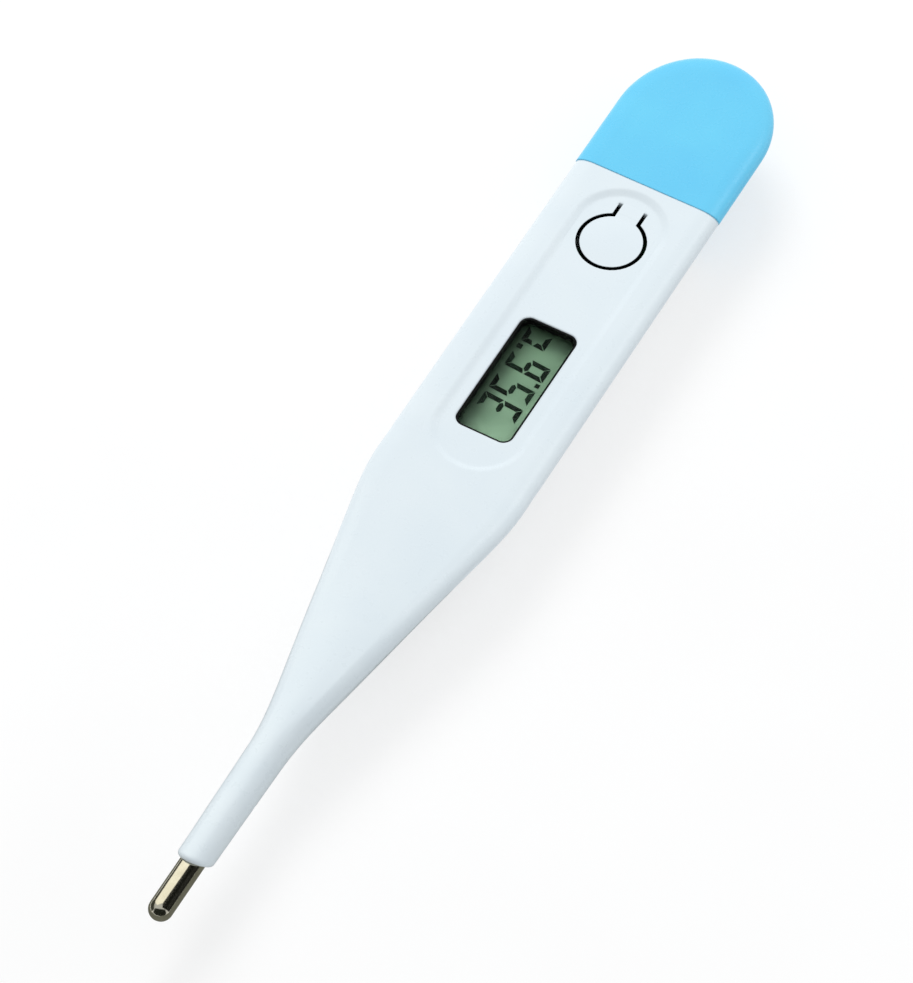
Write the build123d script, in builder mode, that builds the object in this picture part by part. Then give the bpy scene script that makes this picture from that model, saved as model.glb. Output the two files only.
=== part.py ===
from build123d import *

import math
import os

# Digital clinical thermometer, lying on its back.
# Millimetres. +Y runs from the metal tip to the battery cover, +X across the body,
# +Z up through the display. The origin is under the middle of the overall length.

# ---- Lengths along the body, from the cover's end to the tip's end ----
cover_length = 20.2          # battery cover, visible part
body_length = 46.2           # straight part of the casing
taper_length = 33.0          # casing narrowing to the stem
stem_length = 16.9           # slender plastic stem
tip_exposed = 7.7            # bare metal, from the middle of the stem's slanting end
overall_length = cover_length + body_length + taper_length + stem_length + tip_exposed

# ---- Cross-section of the body ----
body_width = 17.5
body_height = 9.0
shoulder_width = 2.3         # sideways reach of the rounded shoulder
shoulder_drop = 1.1          # from the face down to the widest line
base_beyond_cell = 2.23      # the underside is wider than the battery cell by this much
shoulder_fullness = (0.62, 0.5)   # shares of the shoulder's width and drop that shape its curve
corner_radius = 4.0          # long lower corners
corner_blend = 3.0           # softening where the taper begins and ends

# ---- Walls and fits ----
side_wall = 1.2
floor_wall = 1.2
face_wall = 0.8              # under the recess
cover_wall = 1.0
cover_round = 10.4           # length of the cover's tapering round end
cover_proud = 0.05           # the cover stands this far outside the casing
cover_fit = 0.10             # gap between the cover and the neck, all round
neck_wall = 0.9
neck_length = 10.2
carrier_fit = 0.12           # gap between the circuit carrier and the neck

# ---- Stem and probe tip ----
stem_root_radius = 2.16
stem_end_radius = 1.9
stem_axis_drop = 2.25        # stem axis below the face
stem_end_round = 0.4
stem_end_slant = 39.0        # degrees: the top of the stem's end stands forward of its underside
taper_shares = (0.25, 0.5, 0.75)      # sections drawn between the taper's ends
lead_bore_radius = 0.85
tip_radius = 1.3
tip_neck_radius = 1.22       # part of the tip inside the stem
tip_shoulder_gap = 0.1       # the tip's shoulder stands this far off the step in its bore
tip_shoulder_cover = 0.3     # least length of stem over the tip's shoulder
tip_wall = 0.15
tip_buried = 2.6             # length of the metal tip inside the stem
bead_radius = 0.5
bead_length = 1.6
bead_round = 0.3
lead_spread = 0.38           # each lead from the middle, at the bead
lead_pad_x = 1.3             # each lead's pad on the board from the middle
lead_pad_inset = 1.6         # pads from the board's front end
bead_from_end = 1.3          # from the tip's end to the bead's end

# ---- Face: recess, window and button ----
recess_half_width = 5.4
recess_front = 42.3          # from the seam to the recess's front end
recess_rear = 1.1            # from the seam to its rear end
recess_depth = 0.35
recess_ramp = 0.75           # width of the recess's sloping rim
window_from_seam = 29.3
window_length = 16.0
window_width = 6.8
window_corner = 1.2
button_from_seam = 8.26
button_slot_radius = 3.65    # centreline of the round slot
button_slot = 0.45
button_leg_spread = 1.5      # centreline of each straight leg from the middle
button_leg_end = 5.1         # legs' end from the button's centre
button_hinge = 4.2           # bending line of the tongue from the button's centre
button_hinge_gap = 0.03
button_crown = 0.12
button_post_radius = 1.5
button_post_length = 0.95
button_post_gap = 0.05

# ---- Display stack, from the face wall down ----
bezel_wall = 0.22
bezel_flange = 0.15
bezel_lip = 0.8              # flange's reach beyond the window
bezel_set_down = 0.08        # top of the bezel below the recess floor
assembly_gap = 0.02
lens_thickness = 0.4
lens_gap = 0.08
polariser_thickness = 0.15
glass_thickness = 0.4
crystal_gap = 0.05
lcd_width = 8.4
lcd_beyond_window = 1.4      # glass beyond the window at each end
lcd_ledge = 1.8              # front glass beyond the rear glass at the tip end
polariser_margin = 0.2
holder_wall = 0.55
holder_shelf = 1.97          # circuit board to the underside of the display
holder_rim = 0.9             # shelf's width around its opening
glass_fit = 0.05
zebra_thickness = 1.2
zebra_margin = 0.2
zebra_inset = 0.6

# ---- Display characters ----
digit_height = 4.75
digit_width = 2.05
digit_slant = 4.0            # degrees
digit_rise = 0.48            # middle of the digits above the window's middle line
segment_width = 0.56
segment_gap = 0.07
tens_place = -2.8            # each character's centre from the window's centre
ones_place = -0.1
tenths_place = 3.3
unit_place = 6.95
unit_height = 2.9
point_size = 0.5
degree_size = 0.6
degree_from_unit = 1.6

# ---- Circuit board and what it carries ----
board_thickness = 0.8
board_front_overhang = 4.6   # board ahead of the display, to the tip side
board_edge_gap = 0.15
board_in_carrier = 1.8
rail_gap = 0.05
rail_reach = 0.4             # how far each rail lies under the board
rail_height = 1.0
chip_blob_radius = 2.9
chip_blob_height = 0.85
chip_length = 1.6
chip_row_gap = 2.2           # first row of chips from the display holder
chip_width = 0.8
chip_height = 0.5
key_base_radius = 2.7
key_base_height = 0.5
key_column_radius = 1.4
key_web = 0.4
pill_radius = 1.0
pill_thickness = 0.3
pill_gap = 0.35
buzzer_radius = 3.7
buzzer_ceramic_radius = 2.7
buzzer_plate_thickness = 0.15
buzzer_ceramic_thickness = 0.12
buzzer_ring_width = 0.7
buzzer_ring_height = 0.6
buzzer_from_button = 2.0     # buzzer's centre ahead of the button
pin_radius = 0.15
lead_radius = 0.2
solder_radius = 0.55
solder_height = 0.35

# ---- LR41 button cell and its chamber ----
cell_diameter = 7.9
cell_height = 3.6
cell_step = 0.3              # negative cap beyond the can
cell_can_wall = 0.25
cell_seal_wall = 0.35
cell_fit = 0.08
cell_from_seam = 7.6
chamber_floor = 0.5
contact_thickness = 0.15
contact_width = 2.2
contact_clearance = 0.2
carrier_front = 0.6          # front end of the carrier from the seam
thumb_notch_width = 3.0

# ---- Stations along Y ----
cover_end = overall_length / 2
seam = cover_end - cover_length
taper_start = seam - body_length
stem_start = taper_start - taper_length
stem_end = stem_start - stem_length
tip_end = stem_end - tip_exposed
window_y = seam - window_from_seam
button_y = seam - button_from_seam
hinge_y = button_y + button_hinge
neck_end = seam + neck_length
cell_y = seam + cell_from_seam
stem_taper = (stem_root_radius - stem_end_radius) / stem_length
# The stem's end faces forward and down; the bore for the tip steps in behind the whole of it
stem_end_rise = math.tan(math.radians(stem_end_slant))
tip_step = stem_end + tip_radius * stem_end_rise + tip_shoulder_cover

# ---- Heights ----
base_width = cell_diameter + base_beyond_cell
slope = math.atan2((body_width - base_width) / 2, body_height - shoulder_drop)
recess_floor = body_height - recess_depth
ceiling = recess_floor - face_wall
wall_middle = ceiling + face_wall / 2
stem_axis = body_height - stem_axis_drop
bezel_bottom = ceiling - bezel_flange
lens_bottom = bezel_bottom - lens_thickness
lcd_top = lens_bottom - lens_gap
front_glass_top = lcd_top - polariser_thickness
front_glass_bottom = front_glass_top - glass_thickness
rear_glass_top = front_glass_bottom - crystal_gap
rear_glass_bottom = rear_glass_top - glass_thickness
lcd_bottom = rear_glass_bottom - polariser_thickness
board_top = lcd_bottom - holder_shelf
board_bottom = board_top - board_thickness
post_bottom = ceiling - button_post_length
key_top = post_bottom - button_post_gap

# ---- Insets of the nested sections from the casing's outside ----
cover_inner_inset = cover_wall - cover_proud
neck_inset = cover_inner_inset + cover_fit
neck_base = cover_wall + cover_fit
neck_inner_inset = neck_inset + neck_wall
neck_inner_top = body_height - neck_inner_inset
neck_inner_base = neck_base + neck_wall
carrier_inset = neck_inner_inset + carrier_fit
carrier_top = neck_inner_top - carrier_fit
carrier_base = neck_inner_base + carrier_fit

# ---- Display and board outlines ----
rear_glass_front = window_y - window_length / 2 - lcd_beyond_window
front_glass_front = rear_glass_front - lcd_ledge
glass_rear = window_y + window_length / 2 + lcd_beyond_window
holder_front = front_glass_front - glass_fit - holder_wall
holder_rear = glass_rear + glass_fit + holder_wall
board_front = holder_front - board_front_overhang
board_rear = seam + carrier_front + board_in_carrier
cell_bottom = carrier_base + chamber_floor + contact_thickness
cell_top = cell_bottom + cell_height
lead_pad_y = board_front + lead_pad_inset

os.makedirs("parts", exist_ok=True)


def side_half(height, inset):
    """Half-width of the leaning side at a height, measured inside the casing's outside."""
    drop = body_height - shoulder_drop - height
    return body_width / 2 - drop * math.tan(slope) - inset / math.cos(slope)


cover_top = body_height + cover_proud
cover_turn_y = cover_end - cover_round


def third(start, end, share):
    return (start[0] + (end[0] - start[0]) * share, start[1] + (end[1] - start[1]) * share)


def hull_points(inset, top, base):
    """Control points of the body's section: eight cubic edges, clockwise from the top left."""
    along, below = shoulder_fullness
    widest = top - shoulder_drop
    half = side_half(widest, inset)
    flat = half - shoulder_width
    corner = corner_radius - inset
    turn = math.pi / 2 - slope
    reach = corner * math.tan(turn / 2)
    handle = corner * 4 / 3 * math.tan(turn / 4)
    foot = side_half(base, inset)
    side_end = (foot + reach * math.sin(slope), base + reach * math.cos(slope))
    base_end = (foot - reach, base)
    right = [
        ((flat, top), (flat + shoulder_width * along, top), (half, widest + shoulder_drop * below)),
        ((half, widest), third((half, widest), side_end, 1 / 3), third((half, widest), side_end, 2 / 3)),
        (
            side_end,
            (side_end[0] - handle * math.sin(slope), side_end[1] - handle * math.cos(slope)),
            (base_end[0] + handle, base),
        ),
    ]
    chain = [point for edge in right for point in edge] + [base_end]
    mirrored = [(-x, z) for x, z in reversed(chain)]
    top_thirds = [third(mirrored[-1], chain[0], share) for share in (1 / 3, 2 / 3)]
    base_thirds = [third(chain[-1], mirrored[0], share) for share in (1 / 3, 2 / 3)]
    return [mirrored[-1]] + top_thirds + chain + base_thirds + mirrored[:-1]


def ring_points(radius, axis_height):
    """Control points of a circle, cut into eight edges that face those of the body's section."""
    angles = [125, 55, 10, -30, -65, -115, -150, -190, -235]
    points = []
    for start, end in zip(angles, angles[1:]):
        first, last = math.radians(start), math.radians(end)
        handle = radius * 4 / 3 * math.tan((first - last) / 4)
        begin = (radius * math.cos(first), axis_height + radius * math.sin(first))
        finish = (radius * math.cos(last), axis_height + radius * math.sin(last))
        points += [
            begin,
            (begin[0] + handle * math.sin(first), begin[1] - handle * math.cos(first)),
            (finish[0] - handle * math.sin(last), finish[1] + handle * math.cos(last)),
        ]
    return points


def blend(body, ring, share):
    return [third(a, b, share) for a, b in zip(body, ring)]


def draw_section(points, flat_sides=False):
    """Face bounded by cubic edges through every third control point.

    Every other edge of the body's section is straight, and flat_sides draws it as a line.
    """
    with BuildLine(Plane.XY) as outline:
        for start in range(0, len(points), 3):
            end = points[(start + 3) % len(points)]
            if flat_sides and start % 6 == 0:
                Line(points[start], end)
            else:
                Bezier(*points[start : start + 3], end)
    make_face(outline.edges())


def station(y):
    """Plane across the body. Its extrusions run towards the tip."""
    return Plane.XZ.offset(-y)


def draw_half_section(points):
    """Right-hand half of a section, for turning about the cover's upright axis."""
    draw_section(points)
    with Locations((-body_width, 0)):
        Rectangle(2 * body_width, 4 * body_height, mode=Mode.SUBTRACT)


def ramp(y):
    """Share of the way from body to stem, straight with a softened start and end."""
    into = taper_start - y
    if into <= -corner_blend:
        return 0.0
    if into < corner_blend:
        return (into + corner_blend) ** 2 / (4 * corner_blend) / taper_length
    if into <= taper_length - corner_blend:
        return into / taper_length
    if into < taper_length + corner_blend:
        left = taper_length + corner_blend - into
        return 1 - left**2 / (4 * corner_blend) / taper_length
    return 1.0


def stem_radius(y):
    """Radius of the round end that the taper works towards: even up to the stem, then narrowing."""
    return stem_root_radius - max(stem_start - y, 0) * stem_taper


def rounded_end(points, round_length, length, mode=Mode.ADD):
    """Straight run up to the cover's turning line, then half a turn stretched to a length."""
    with BuildSketch(station(cover_turn_y)) as whole:
        draw_section(points, flat_sides=True)
    extrude(whole.sketch, amount=length, mode=mode)
    widest_half = max(x for x, z in points)
    with BuildPart() as end:
        with BuildSketch(station(0)) as half:
            draw_half_section(points)
        revolve(half.sketch, axis=Axis.Z, revolution_arc=180)
        scale(by=(1, round_length / widest_half, 1))
    with Locations((0, cover_turn_y, 0)):
        add(end.part, mode=mode)


# ---- Casing: one moulding, open at the neck, with rails for the circuit board ----
outer = hull_points(0, body_height, 0)
stem_end_plane = Plane((0, stem_end, stem_axis), x_dir=(1, 0, 0), z_dir=(0, -1, -stem_end_rise))
with BuildPart() as casing:
    body_front = taper_start + 2 * corner_blend
    with BuildSketch(station(seam)):
        draw_section(outer, flat_sides=True)
    extrude(amount=seam - body_front)
    stations = [body_front, taper_start + corner_blend, taper_start, taper_start - corner_blend]
    stations += [taper_start - taper_length * share for share in taper_shares]
    stem_front = stem_end - 1.5 * stem_end_radius * stem_end_rise
    stem_rear = stem_start - corner_blend
    stations += [stem_start + corner_blend, stem_start, stem_rear]
    for y in stations:
        with BuildSketch(station(y)):
            draw_section(blend(outer, ring_points(stem_radius(y), stem_axis), ramp(y)))
    loft()
    for y in (stem_rear, stem_front):
        with BuildSketch(station(y)):
            draw_section(ring_points(stem_radius(y), stem_axis))
    loft(ruled=True)
    with BuildSketch(stem_end_plane):
        Circle(3 * stem_root_radius)
    extrude(amount=2 * stem_length, mode=Mode.SUBTRACT)
    fillet(casing.faces().sort_by(Axis.Y)[0].edges(), stem_end_round)
    with BuildSketch(station(neck_end)):
        draw_section(hull_points(neck_inset, body_height - neck_inset, neck_base), flat_sides=True)
    extrude(amount=neck_length)
    # Hollow: neck, main cavity, the cavity in the taper and the bore for the leads
    with BuildSketch(station(neck_end)):
        draw_section(hull_points(neck_inner_inset, neck_inner_top, neck_inner_base), flat_sides=True)
    extrude(amount=neck_length + side_wall, mode=Mode.SUBTRACT)
    cavity = hull_points(side_wall, ceiling, floor_wall)
    with BuildSketch(station(seam - side_wall)):
        draw_section(cavity)
    extrude(amount=seam - side_wall - taper_start, mode=Mode.SUBTRACT)
    taper_cavity_end = stem_start + corner_blend
    cavity_ring = ring_points(stem_root_radius - side_wall, stem_axis)
    for y in (taper_start, taper_cavity_end):
        with BuildSketch(station(y)):
            draw_section(blend(cavity, cavity_ring, ramp(y) if y < taper_start else 0))
    loft(ruled=True, mode=Mode.SUBTRACT)
    with BuildSketch(station(taper_cavity_end)):
        with Locations((0, stem_axis)):
            Circle(lead_bore_radius)
    extrude(amount=taper_cavity_end - stem_front, mode=Mode.SUBTRACT)
    for bore_end, bore_radius in ((stem_end + tip_buried, tip_neck_radius), (tip_step, tip_radius)):
        with BuildSketch(station(bore_end)):
            with Locations((0, stem_axis)):
                Circle(bore_radius + assembly_gap)
        extrude(amount=bore_end - stem_front, mode=Mode.SUBTRACT)
    # Recess in the face, with a sloping rim
    recess_length = recess_front - recess_rear
    recess_y = seam - (recess_front + recess_rear) / 2
    for height, spread in ((recess_floor, -recess_ramp), (body_height, 0.0)):
        with BuildSketch(Plane.XY.offset(height)):
            with Locations((0, recess_y)):
                SlotOverall(
                    recess_length + 2 * spread,
                    2 * (recess_half_width + spread),
                    rotation=90,
                )
    loft(ruled=True, mode=Mode.SUBTRACT)
    # Window
    with BuildSketch(Plane.XY.offset(recess_floor)):
        with Locations((0, window_y)):
            RectangleRounded(window_width, window_length, window_corner)
    extrude(amount=-face_wall, mode=Mode.SUBTRACT)
    # Slot round the button's tongue, and the concave seat at its root
    with BuildSketch(Plane.XY.offset(recess_floor)):
        with Locations((0, button_y)):
            Circle(button_slot_radius + button_slot / 2)
        with Locations((0, button_y + button_hinge / 2)):
            Rectangle(2 * button_leg_spread + button_slot, button_hinge)
        leg_length = button_leg_end - button_hinge / 2
        for side in (-1, 1):
            with Locations((side * button_leg_spread, button_y + button_leg_end - leg_length / 2)):
                Rectangle(button_slot, leg_length)
    extrude(amount=-face_wall, mode=Mode.SUBTRACT)
    with BuildSketch(Plane.YZ.offset(-button_leg_spread)):
        with Locations((hinge_y, wall_middle)):
            Circle(button_leg_end - button_hinge + button_hinge_gap)
    extrude(amount=2 * button_leg_spread, mode=Mode.SUBTRACT)
    # Rails under the edges of the circuit board
    board_half = side_half(board_bottom, neck_inner_inset) - board_edge_gap
    rail_top = board_bottom - rail_gap
    rail_inner = board_half - rail_reach
    rail_outer = side_half(rail_top - rail_height, side_wall / 2)
    rail_front = holder_front
    rail_rear = seam - side_wall
    for side in (-1, 1):
        with BuildSketch(Plane.XY.offset(rail_top)):
            with Locations((side * (rail_inner + rail_outer) / 2, (rail_front + rail_rear) / 2)):
                Rectangle(rail_outer - rail_inner, rail_rear - rail_front)
        extrude(amount=-rail_height)
casing.part.label = "casing"
export_step(casing.part, "parts/casing.step")

# ---- Power button: round tongue that bends at its neck ----
with BuildPart() as power_button:
    with BuildSketch(Plane.XY.offset(ceiling)):
        with Locations((0, button_y)):
            Circle(button_slot_radius - button_slot / 2)
    extrude(amount=face_wall)
    neck_half = button_leg_spread - button_slot / 2
    with BuildSketch(Plane.YZ.offset(-neck_half)):
        with Locations((button_y + button_hinge / 2, wall_middle)):
            Rectangle(button_hinge, face_wall)
        with Locations((hinge_y, wall_middle)):
            Circle(button_leg_end - button_hinge)
        with Locations((button_y + button_hinge / 2, wall_middle)):
            Rectangle(4 * button_hinge, face_wall, mode=Mode.INTERSECT)
    extrude(amount=2 * neck_half)
    crown_reach = button_slot_radius - button_slot
    with BuildSketch(Plane.YZ):
        with BuildLine():
            crown_arc = SagittaArc(
                (button_y - crown_reach, recess_floor),
                (button_y + crown_reach, recess_floor),
                button_crown,
            )
            Line(crown_arc @ 1, crown_arc @ 0)
        make_face()
        with Locations((button_y - crown_reach, recess_floor)):
            Rectangle(2 * crown_reach, 4 * crown_reach, mode=Mode.SUBTRACT)
    revolve(axis=Axis((0, button_y, 0), (0, 0, 1)))
    with BuildSketch(Plane.XY.offset(ceiling)):
        with Locations((0, button_y)):
            Circle(button_post_radius)
    extrude(amount=-button_post_length)
power_button.part.label = "power_button"
export_step(power_button.part, "parts/power_button.step")

# ---- Battery cover: sleeve over the neck with a round end ----
with BuildPart() as battery_cover:
    cover_outer = hull_points(-cover_proud, cover_top, 0)
    rounded_end(cover_outer, cover_round, cover_turn_y - seam)
    cover_inner = hull_points(cover_inner_inset, body_height - cover_inner_inset, cover_wall)
    rounded_end(cover_inner, cover_round - cover_wall, cover_turn_y - seam, Mode.SUBTRACT)
battery_cover.part.label = "battery_cover"
export_step(battery_cover.part, "parts/battery_cover.step")

# ---- Window bezel and lens ----
with BuildPart() as window_bezel:
    sleeve_top = recess_floor - bezel_set_down
    sleeve_width = window_width - 2 * assembly_gap
    sleeve_length = window_length - 2 * assembly_gap
    with BuildSketch(Plane.XY.offset(bezel_bottom)):
        with Locations((0, window_y)):
            RectangleRounded(sleeve_width, sleeve_length, window_corner - assembly_gap)
    extrude(amount=sleeve_top - bezel_bottom)
    with BuildSketch(Plane.XY.offset(bezel_bottom)):
        with Locations((0, window_y)):
            RectangleRounded(window_width + 2 * bezel_lip, window_length + 2 * bezel_lip, window_corner)
    extrude(amount=bezel_flange)
    with BuildSketch(Plane.XY.offset(bezel_bottom)):
        with Locations((0, window_y)):
            RectangleRounded(
                sleeve_width - 2 * bezel_wall,
                sleeve_length - 2 * bezel_wall,
                window_corner - assembly_gap - bezel_wall,
            )
    extrude(amount=sleeve_top - bezel_bottom, mode=Mode.SUBTRACT)
window_bezel.part.label = "window_bezel"
export_step(window_bezel.part, "parts/window_bezel.step")

with BuildPart() as window_lens:
    with BuildSketch(Plane.XY.offset(lens_bottom)):
        with Locations((0, window_y)):
            RectangleRounded(window_width + 2 * bezel_lip, window_length + 2 * bezel_lip, window_corner)
    extrude(amount=lens_thickness)
window_lens.part.label = "window_lens"
export_step(window_lens.part, "parts/window_lens.step")


# ---- Display: polarisers, two glasses and the characters between them ----
def slab(width, front, rear, bottom, thickness):
    """Flat piece centred on X, from one station to another."""
    with BuildSketch(Plane.XY.offset(bottom)) as outline:
        with Locations((0, (front + rear) / 2)):
            Rectangle(width, rear - front)
    extrude(outline.sketch, amount=thickness)


polariser_width = lcd_width - 2 * polariser_margin
polariser_front = rear_glass_front + polariser_margin
polariser_rear = glass_rear - polariser_margin
with BuildPart() as lcd_front_polariser:
    slab(polariser_width, polariser_front, polariser_rear, front_glass_top, polariser_thickness)
lcd_front_polariser.part.label = "lcd_front_polariser"
export_step(lcd_front_polariser.part, "parts/lcd_front_polariser.step")

with BuildPart() as lcd_front_glass:
    slab(lcd_width, front_glass_front, glass_rear, front_glass_bottom, glass_thickness)
lcd_front_glass.part.label = "lcd_front_glass"
export_step(lcd_front_glass.part, "parts/lcd_front_glass.step")

with BuildPart() as lcd_rear_glass:
    slab(lcd_width, rear_glass_front, glass_rear, rear_glass_bottom, glass_thickness)
lcd_rear_glass.part.label = "lcd_rear_glass"
export_step(lcd_rear_glass.part, "parts/lcd_rear_glass.step")

with BuildPart() as lcd_rear_polariser:
    slab(polariser_width, polariser_front, polariser_rear, lcd_bottom, polariser_thickness)
lcd_rear_polariser.part.label = "lcd_rear_polariser"
export_step(lcd_rear_polariser.part, "parts/lcd_rear_polariser.step")

# The characters read from the tip towards the cover, with their tops towards -X.
display_plane = Plane(origin=(0, window_y, rear_glass_top), x_dir=(0, 1, 0), z_dir=(0, 0, 1))
digit_places = {"3": tens_place, "5": ones_place, "6": tenths_place}
lit_segments = {"3": "abcdg", "5": "acdfg", "6": "acdefg"}


def bar(start, end, inward, centre_x, middle_y):
    """Display bar along one side of a character, its ends mitred. Inward is 1 or -1 for a bar
    with its long edge on the outline, and 0 for the middle bar, pointed at both ends. A bar
    that ends beside the middle bar's point is cut back there by half as much."""
    lean = math.tan(math.radians(digit_slant))
    run = math.hypot(end[0] - start[0], end[1] - start[1])
    unit = ((end[0] - start[0]) / run, (end[1] - start[1]) / run)
    across = (-unit[1], unit[0])
    width = segment_width
    if inward:
        upright = start[0] == end[0]
        start_cut = width / 2 if upright and start[1] == middle_y else width
        end_cut = width / 2 if upright and end[1] == middle_y else width
        corners = [
            (segment_gap, 0),
            (run - segment_gap, 0),
            (run - segment_gap - end_cut, inward * width),
            (segment_gap + start_cut, inward * width),
        ]
    else:
        corners = [
            (segment_gap + width / 2, 0),
            (segment_gap + width, width / 2),
            (run - segment_gap - width, width / 2),
            (run - segment_gap - width / 2, 0),
            (run - segment_gap - width, -width / 2),
            (segment_gap + width, -width / 2),
        ]
    outline = []
    for distance, offset in corners:
        x = start[0] + unit[0] * distance + across[0] * offset
        y = start[1] + unit[1] * distance + across[1] * offset
        outline.append((centre_x + x + y * lean, y))
    with BuildLine(Plane.XY) as edge:
        Polyline(*outline, close=True)
    make_face(edge.edges())


def character(segments, centre_x, middle_y, height):
    """Seven-segment character inside its outline."""
    half = digit_width / 2
    low, high = middle_y - height / 2, middle_y + height / 2
    places = {
        "a": ((-half, high), (half, high), -1),
        "b": ((half, middle_y), (half, high), 1),
        "c": ((half, low), (half, middle_y), 1),
        "d": ((-half, low), (half, low), 1),
        "e": ((-half, low), (-half, middle_y), -1),
        "f": ((-half, middle_y), (-half, high), -1),
        "g": ((-half, middle_y), (half, middle_y), 0),
    }
    for name in segments:
        bar(*places[name], centre_x, middle_y)


with BuildPart() as lcd_characters:
    with BuildSketch(display_plane):
        for digit, place in digit_places.items():
            character(lit_segments[digit], place, digit_rise, digit_height)
        digit_top = digit_height / 2 + digit_rise
        character("adef", unit_place, digit_top - unit_height / 2, unit_height)
        with Locations(((ones_place + tenths_place) / 2, digit_top - digit_height + point_size / 2)):
            Rectangle(point_size, point_size)
        with Locations((unit_place - degree_from_unit, digit_top - degree_size / 2)):
            Rectangle(degree_size, degree_size)
    extrude(amount=crystal_gap)
lcd_characters.part.label = "lcd_characters"
export_step(lcd_characters.part, "parts/lcd_characters.step")

# ---- Display holder and the striped rubber connector ----
zebra_width = lcd_width - 2 * zebra_inset
zebra_front = front_glass_front + zebra_margin
zebra_rear = zebra_front + zebra_thickness
with BuildPart() as lcd_holder:
    holder_width = lcd_width + 2 * (glass_fit + holder_wall)
    slab(holder_width, holder_front, holder_rear, board_top, lcd_top - board_top)
    with BuildSketch(Plane.XY.offset(lcd_bottom)):
        with Locations((0, (front_glass_front + glass_rear) / 2)):
            Rectangle(lcd_width + 2 * glass_fit, glass_rear - front_glass_front + 2 * glass_fit)
    extrude(amount=lcd_top - lcd_bottom, mode=Mode.SUBTRACT)
    with BuildSketch(Plane.XY.offset(board_top)):
        opening_front = rear_glass_front + holder_rim
        opening_rear = glass_rear - holder_rim
        with Locations((0, (opening_front + opening_rear) / 2)):
            Rectangle(lcd_width - 2 * holder_rim, opening_rear - opening_front)
        with Locations((0, (zebra_front + zebra_rear) / 2)):
            Rectangle(zebra_width + 2 * glass_fit, zebra_thickness + 2 * glass_fit)
    extrude(amount=holder_shelf, mode=Mode.SUBTRACT)
lcd_holder.part.label = "lcd_holder"
export_step(lcd_holder.part, "parts/lcd_holder.step")

with BuildPart() as zebra_strip:
    slab(zebra_width, zebra_front, zebra_rear, board_top, front_glass_bottom - board_top)
zebra_strip.part.label = "zebra_strip"
export_step(zebra_strip.part, "parts/zebra_strip.step")

# ---- Circuit board, chip and small components ----
with BuildPart() as circuit_board:
    slab(2 * board_half, board_front, board_rear, board_bottom, board_thickness)
circuit_board.part.label = "circuit_board"
export_step(circuit_board.part, "parts/circuit_board.step")

with BuildPart() as chip_blob:
    with BuildSketch(Plane.YZ):
        with BuildLine():
            blob_edge = SagittaArc(
                (window_y - chip_blob_radius, board_bottom),
                (window_y + chip_blob_radius, board_bottom),
                -chip_blob_height,
            )
            Line(blob_edge @ 1, blob_edge @ 0)
        make_face()
        with Locations((window_y - chip_blob_radius, board_bottom)):
            Rectangle(2 * chip_blob_radius, 4 * chip_blob_radius, mode=Mode.SUBTRACT)
    revolve(axis=Axis((0, window_y, 0), (0, 0, 1)))
chip_blob.part.label = "chip_blob"
export_step(chip_blob.part, "parts/chip_blob.step")

chip_row_y = holder_rear + chip_row_gap
with BuildPart() as chip_resistors:
    with BuildSketch(Plane.XY.offset(board_top)):
        with Locations((0, chip_row_y)):
            with GridLocations(2 * chip_width, 1, 3, 1):
                Rectangle(chip_width, chip_length)
    extrude(amount=chip_height)
chip_resistors.part.label = "chip_resistors"
export_step(chip_resistors.part, "parts/chip_resistors.step")

with BuildPart() as chip_capacitors:
    with BuildSketch(Plane.XY.offset(board_top)):
        with Locations((0, chip_row_y + 2 * chip_length)):
            with GridLocations(3 * chip_length, 1, 2, 1):
                Rectangle(chip_length, chip_width)
    extrude(amount=chip_height)
chip_capacitors.part.label = "chip_capacitors"
export_step(chip_capacitors.part, "parts/chip_capacitors.step")

# ---- Rubber key under the button, with its carbon pill ----
pill_bottom = board_top + pill_gap
pill_top = pill_bottom + pill_thickness
with BuildPart() as rubber_key:
    with BuildSketch(Plane.YZ):
        with BuildLine():
            Polyline(
                (button_y, pill_top),
                (button_y + pill_radius, pill_top),
                (button_y + key_base_radius - 2 * key_web, board_top + key_base_height / 2),
                (button_y + key_base_radius - 2 * key_web, board_top),
                (button_y + key_base_radius, board_top),
                (button_y + key_base_radius, board_top + key_base_height),
                (button_y + key_base_radius - key_web, board_top + key_base_height),
                (button_y + key_column_radius, pill_top + key_web),
                (button_y + key_column_radius, key_top),
                (button_y, key_top),
                close=True,
            )
        make_face()
    revolve(axis=Axis((0, button_y, 0), (0, 0, 1)))
rubber_key.part.label = "rubber_key"
export_step(rubber_key.part, "parts/rubber_key.step")

with BuildPart() as carbon_pill:
    with BuildSketch(Plane.XY.offset(pill_bottom)):
        with Locations((0, button_y)):
            Circle(pill_radius)
    extrude(amount=pill_thickness)
carbon_pill.part.label = "carbon_pill"
export_step(carbon_pill.part, "parts/carbon_pill.step")

# ---- Buzzer under the board: foam ring, brass plate, ceramic disc and spring pins ----
buzzer_y = button_y - buzzer_from_button
buzzer_ring_bottom = board_bottom - buzzer_ring_height
ceramic_top = buzzer_ring_bottom + buzzer_ceramic_thickness


def buzzer_disc(radius, bottom, thickness):
    with BuildSketch(Plane.XY.offset(bottom)) as disc:
        with Locations((0, buzzer_y)):
            Circle(radius)
    extrude(disc.sketch, amount=thickness)


with BuildPart() as buzzer_foam_ring:
    buzzer_disc(buzzer_radius, buzzer_ring_bottom, buzzer_ring_height)
    with BuildSketch(Plane.XY.offset(buzzer_ring_bottom)):
        with Locations((0, buzzer_y)):
            Circle(buzzer_radius - buzzer_ring_width)
    extrude(amount=buzzer_ring_height, mode=Mode.SUBTRACT)
buzzer_foam_ring.part.label = "buzzer_foam_ring"
export_step(buzzer_foam_ring.part, "parts/buzzer_foam_ring.step")

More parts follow.
